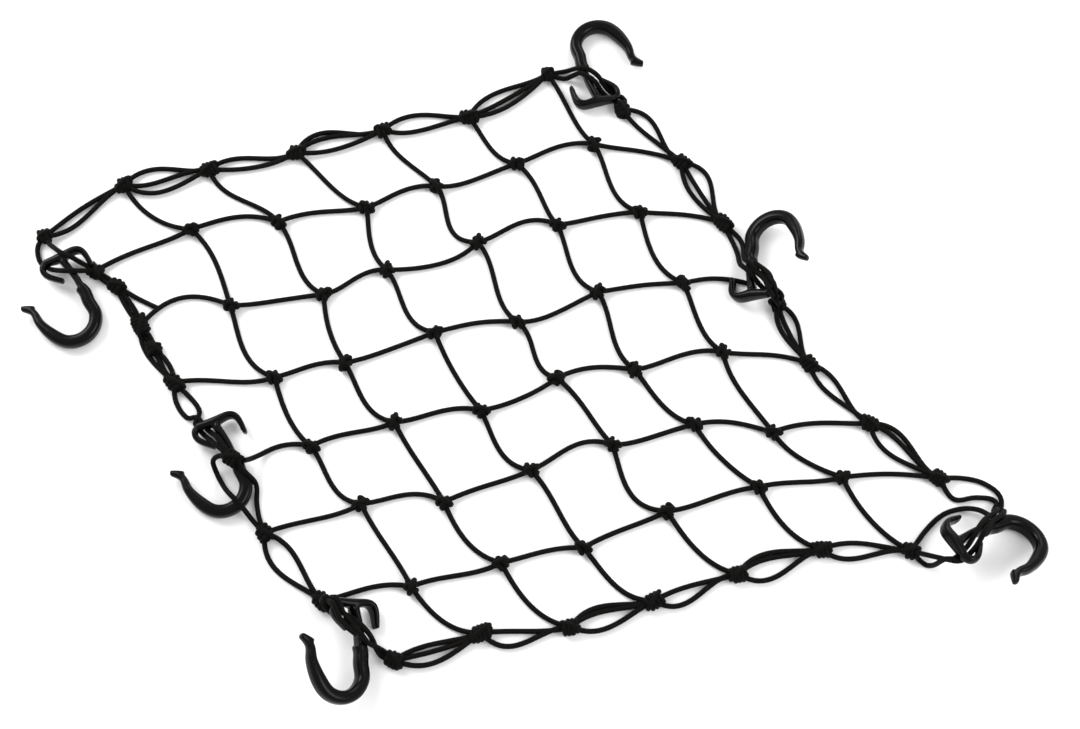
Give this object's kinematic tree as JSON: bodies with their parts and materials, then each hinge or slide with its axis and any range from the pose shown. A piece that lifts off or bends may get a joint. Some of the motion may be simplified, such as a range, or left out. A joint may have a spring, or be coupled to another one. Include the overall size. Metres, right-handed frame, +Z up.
{
  "type": "elastic cargo net with hooks",
  "caption": "Knotted elastic cargo net lying flat, with a looped border cord and moulded plastic hooks around its edge.",
  "frame": {"origin": "middle of the bounding box's underside, on the surface that the net lies on", "axes": "+X along the net's longest extent, +Y across it, +Z up from the surface"},
  "size_m": [0.6222, 0.451, 0.0354],
  "materials": {
    "elastic_cord": "black braided sheath over an elastic core, matt with a slight sheen",
    "hook_plastic": "black moulded plastic with soft edges and a light gloss"
  },
  "bodies": {
    "root": {"net_mesh": "elastic_cord", "border_cord": "elastic_cord", "hook_1": "hook_plastic", "hook_2": "hook_plastic", "hook_3": "hook_plastic", "hook_4": "hook_plastic", "hook_5": "hook_plastic", "hook_6": "hook_plastic"}
  },
  "joints": []
}
